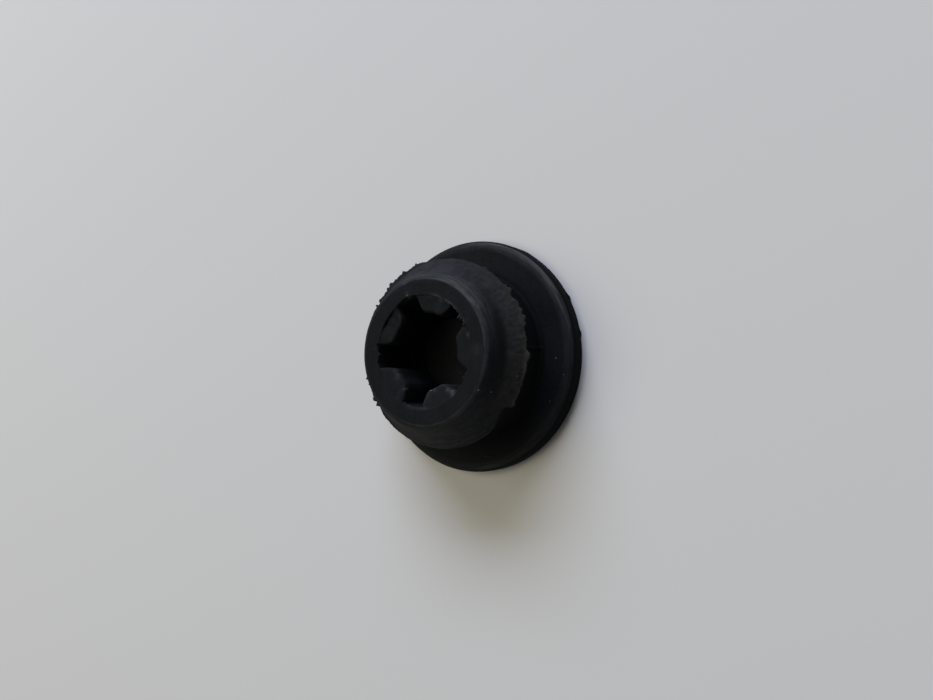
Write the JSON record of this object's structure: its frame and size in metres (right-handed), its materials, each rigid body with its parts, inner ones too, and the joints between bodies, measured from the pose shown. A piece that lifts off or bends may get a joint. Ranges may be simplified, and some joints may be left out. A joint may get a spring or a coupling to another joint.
{
  "type": "radiator mount cushion",
  "caption": "Round black rubber cushion with a wide flange, a neck that fills a panel hole and a snap-in head with a ribbed blind socket for a radiator's locating pin.",
  "frame": {"origin": "centre of the flange's flat underside", "axes": "+Z along the cushion's axis, out of the socket's mouth, the way the radiator pin leaves; -Y is the side with the largest nib of mould flash, and +X is a quarter turn from it"},
  "size_m": [0.038, 0.038, 0.0155],
  "materials": {
    "rubber": "matte moulded rubber, slightly bluish black, with torn mould flash"
  },
  "bodies": {
    "root": {"mount_cushion": "rubber"}
  },
  "joints": []
}
